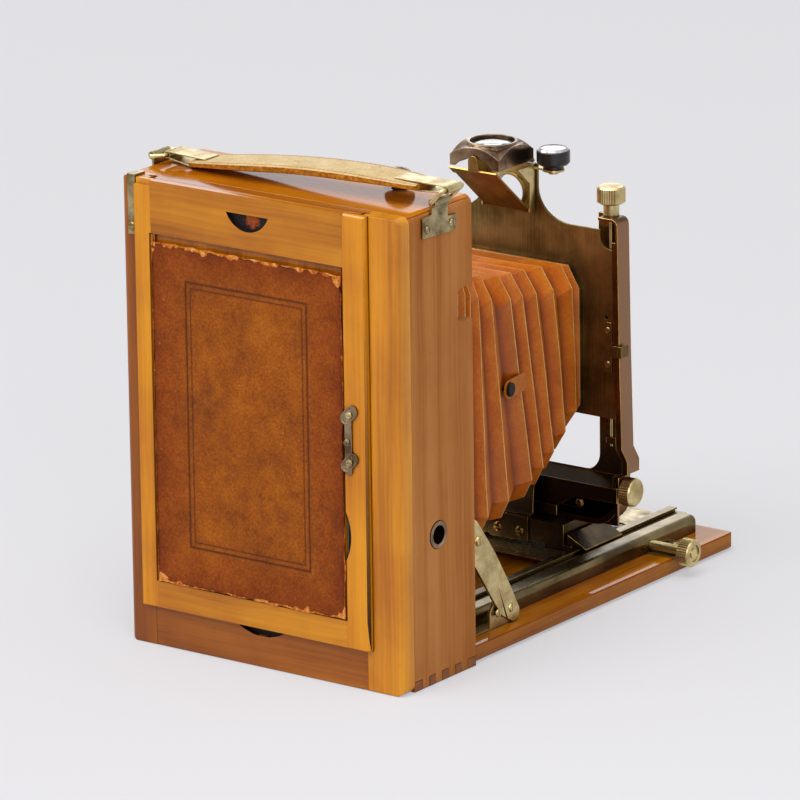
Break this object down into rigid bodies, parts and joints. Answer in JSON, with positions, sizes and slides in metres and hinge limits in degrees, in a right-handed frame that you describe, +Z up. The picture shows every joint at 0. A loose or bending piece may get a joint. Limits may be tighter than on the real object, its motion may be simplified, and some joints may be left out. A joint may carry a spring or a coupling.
{
  "type": "folding plate camera",
  "caption": "Wooden folding plate camera stood open on its bed: sliding back with leather door, pleated bellows, and a brass front with lens, finder, level and screws.",
  "frame": {"origin": "centre of the body's bottom face, on the plane the camera stands on", "axes": "+Z up, -Y the way the lens looks, +X the left side seen from behind the lens's back, so the focusing knob is at -X"},
  "size_m": [0.152, 0.2483, 0.2107],
  "materials": {
    "wood": "satin varnish",
    "button_wood": "worn varnish",
    "brass": "worn lacquer",
    "dark_brass": "dark patina",
    "black_paint": "worn satin black",
    "strap_leather": "worn",
    "door_leather": "mottled",
    "bellows_leather": "satin",
    "glass": "clear polished",
    "ground_glass": "ground",
    "mirror": "polished"
  },
  "bodies": {
    "case": {"side_left": "wood", "side_right": "wood", "top_board": "wood", "bottom_board": "wood", "rear_stiles": "wood", "rear_rails": "wood", "bellows_rear_frame": "black_paint", "tripod_bush": "brass", "handle_plates": "brass", "handle_loops": "brass", "handle_ferrules": "brass", "handle_strap": "strap_leather", "back_spring_catch": "brass", "case_screws": "brass", "bed": "wood", "bed_hinge": "brass", "bed_struts": "brass", "strut_brackets": "brass", "outer_rails": "dark_brass", "shaft_bearing": "dark_brass", "bellows_1": "bellows_leather"},
    "button": {"bed_release_button": "button_wood"},
    "focus_carriage": {"focus_rails": "dark_brass", "focus_racks": "brass", "focus_plate": "brass", "bellows_2": "bellows_leather"},
    "focus_spindle": {"focus_shaft": "brass", "focus_knob": "brass"},
    "standard_base": {"base_block": "dark_brass", "tail_bracket": "brass", "cross_block": "dark_brass", "bellows_3": "bellows_leather"},
    "grip_left_body": {"grip_left": "dark_brass"},
    "grip_right_body": {"grip_right": "dark_brass"},
    "cross_front": {"front_frame": "dark_brass", "bellows_4": "bellows_leather"},
    "cross_spindle": {"cross_screw": "brass"},
    "rising_front": {"rising_panel": "dark_brass", "rise_nut": "brass", "panel_clips": "brass", "panel_screws": "brass", "finder_plate": "brass", "finder_mirror": "mirror", "spirit_level": "black_paint", "lens_board": "black_paint", "shutter_case": "black_paint", "lens_barrel": "brass", "lens_glass": "glass", "bellows_front_frame": "black_paint"},
    "rise_spindle": {"rise_screw": "brass"},
    "finder_top": {"finder_lid": "brass", "finder_lens": "glass"},
    "release": {"release_lever": "brass"},
    "iris": {"iris_lever": "brass"},
    "sliding_back": {"back_frame": "wood", "back_runners": "brass", "ground_glass": "ground_glass", "back_fasteners": "brass"},
    "back_door": {"door": "door_leather"},
    "latch": {"door_catch": "brass"}
  },
  "joints": [
    {"name": "button_press", "type": "slide", "parent": "case", "child": "button", "axis": [0, 0, -1], "range_m": [0, 0.002], "stiffness_N_per_m": 300, "springref_m": -0.002},
    {"name": "focus_slide", "type": "slide", "parent": "case", "child": "focus_carriage", "axis": [0, -1, 0], "range_m": [-0.005, 0.055], "deforming": ["bellows_1"]},
    {"name": "focus_turn", "type": "hinge", "parent": "case", "child": "focus_spindle", "pos_m": [-0.07, -0.1755, 0.0104], "axis": [1, 0, 0], "range_deg": [-160, 1600]},
    {"name": "standard_slide", "type": "slide", "parent": "focus_carriage", "child": "standard_base", "axis": [0, -1, 0], "range_m": [-0.06, 0.02], "deforming": ["bellows_2"]},
    {"name": "grip_left_pinch", "type": "slide", "parent": "standard_base", "child": "grip_left_body", "axis": [-1, 0, 0], "range_m": [0, 0.0012], "stiffness_N_per_m": 800, "springref_m": -0.002},
    {"name": "grip_right_pinch", "type": "slide", "parent": "standard_base", "child": "grip_right_body", "axis": [1, 0, 0], "range_m": [0, 0.0012], "stiffness_N_per_m": 800, "springref_m": -0.002},
    {"name": "cross_slide", "type": "slide", "parent": "standard_base", "child": "cross_front", "axis": [1, 0, 0], "range_m": [-0.008, 0.008], "deforming": ["bellows_3"]},
    {"name": "cross_turn", "type": "hinge", "parent": "cross_front", "child": "cross_spindle", "pos_m": [-0.06, -0.1525, 0.0407], "axis": [1, 0, 0], "range_deg": [-1930, 1930]},
    {"name": "rise_slide", "type": "slide", "parent": "cross_front", "child": "rising_front", "axis": [0, 0, 1], "range_m": [-0.012, 0.01], "deforming": ["bellows_4"]},
    {"name": "rise_turn", "type": "hinge", "parent": "cross_front", "child": "rise_spindle", "pos_m": [-0.0495, -0.15445, 0.16], "axis": [0, 0, 1], "range_deg": [-4325, 3605]},
    {"name": "lid_hinge", "type": "hinge", "parent": "rising_front", "child": "finder_top", "pos_m": [0, -0.1519, 0.179], "axis": [1, 0, 0], "range_deg": [0, 100]},
    {"name": "release_turn", "type": "hinge", "parent": "rising_front", "child": "release", "pos_m": [0, -0.1597, 0.10335], "axis": [0, 1, 0], "range_deg": [0, 15], "stiffness_Nm_per_rad": 0.05, "springref_deg": -5.73},
    {"name": "iris_turn", "type": "hinge", "parent": "rising_front", "child": "iris", "pos_m": [0, -0.1597, 0.10335], "axis": [0, 1, 0], "range_deg": [-15, 15]},
    {"name": "back_slide", "type": "slide", "parent": "case", "child": "sliding_back", "axis": [0, 0, 1], "range_m": [0, 0.185]},
    {"name": "door_hinge", "type": "hinge", "parent": "sliding_back", "child": "back_door", "pos_m": [0.0518, 0.0274, 0.1], "axis": [0, 0, -1], "range_deg": [0, 110]},
    {"name": "latch_slide", "type": "slide", "parent": "sliding_back", "child": "latch", "axis": [-0.7071, 0, 0.7071], "range_m": [0, 0.0014]}
  ],
  "couplings": [
    {"joint": "focus_turn", "follows": "focus_slide", "rad_per_m": 500},
    {"joint": "cross_turn", "follows": "cross_slide", "rad_per_m": 4188.8},
    {"joint": "rise_turn", "follows": "rise_slide", "rad_per_m": 6283.2}
  ]
}
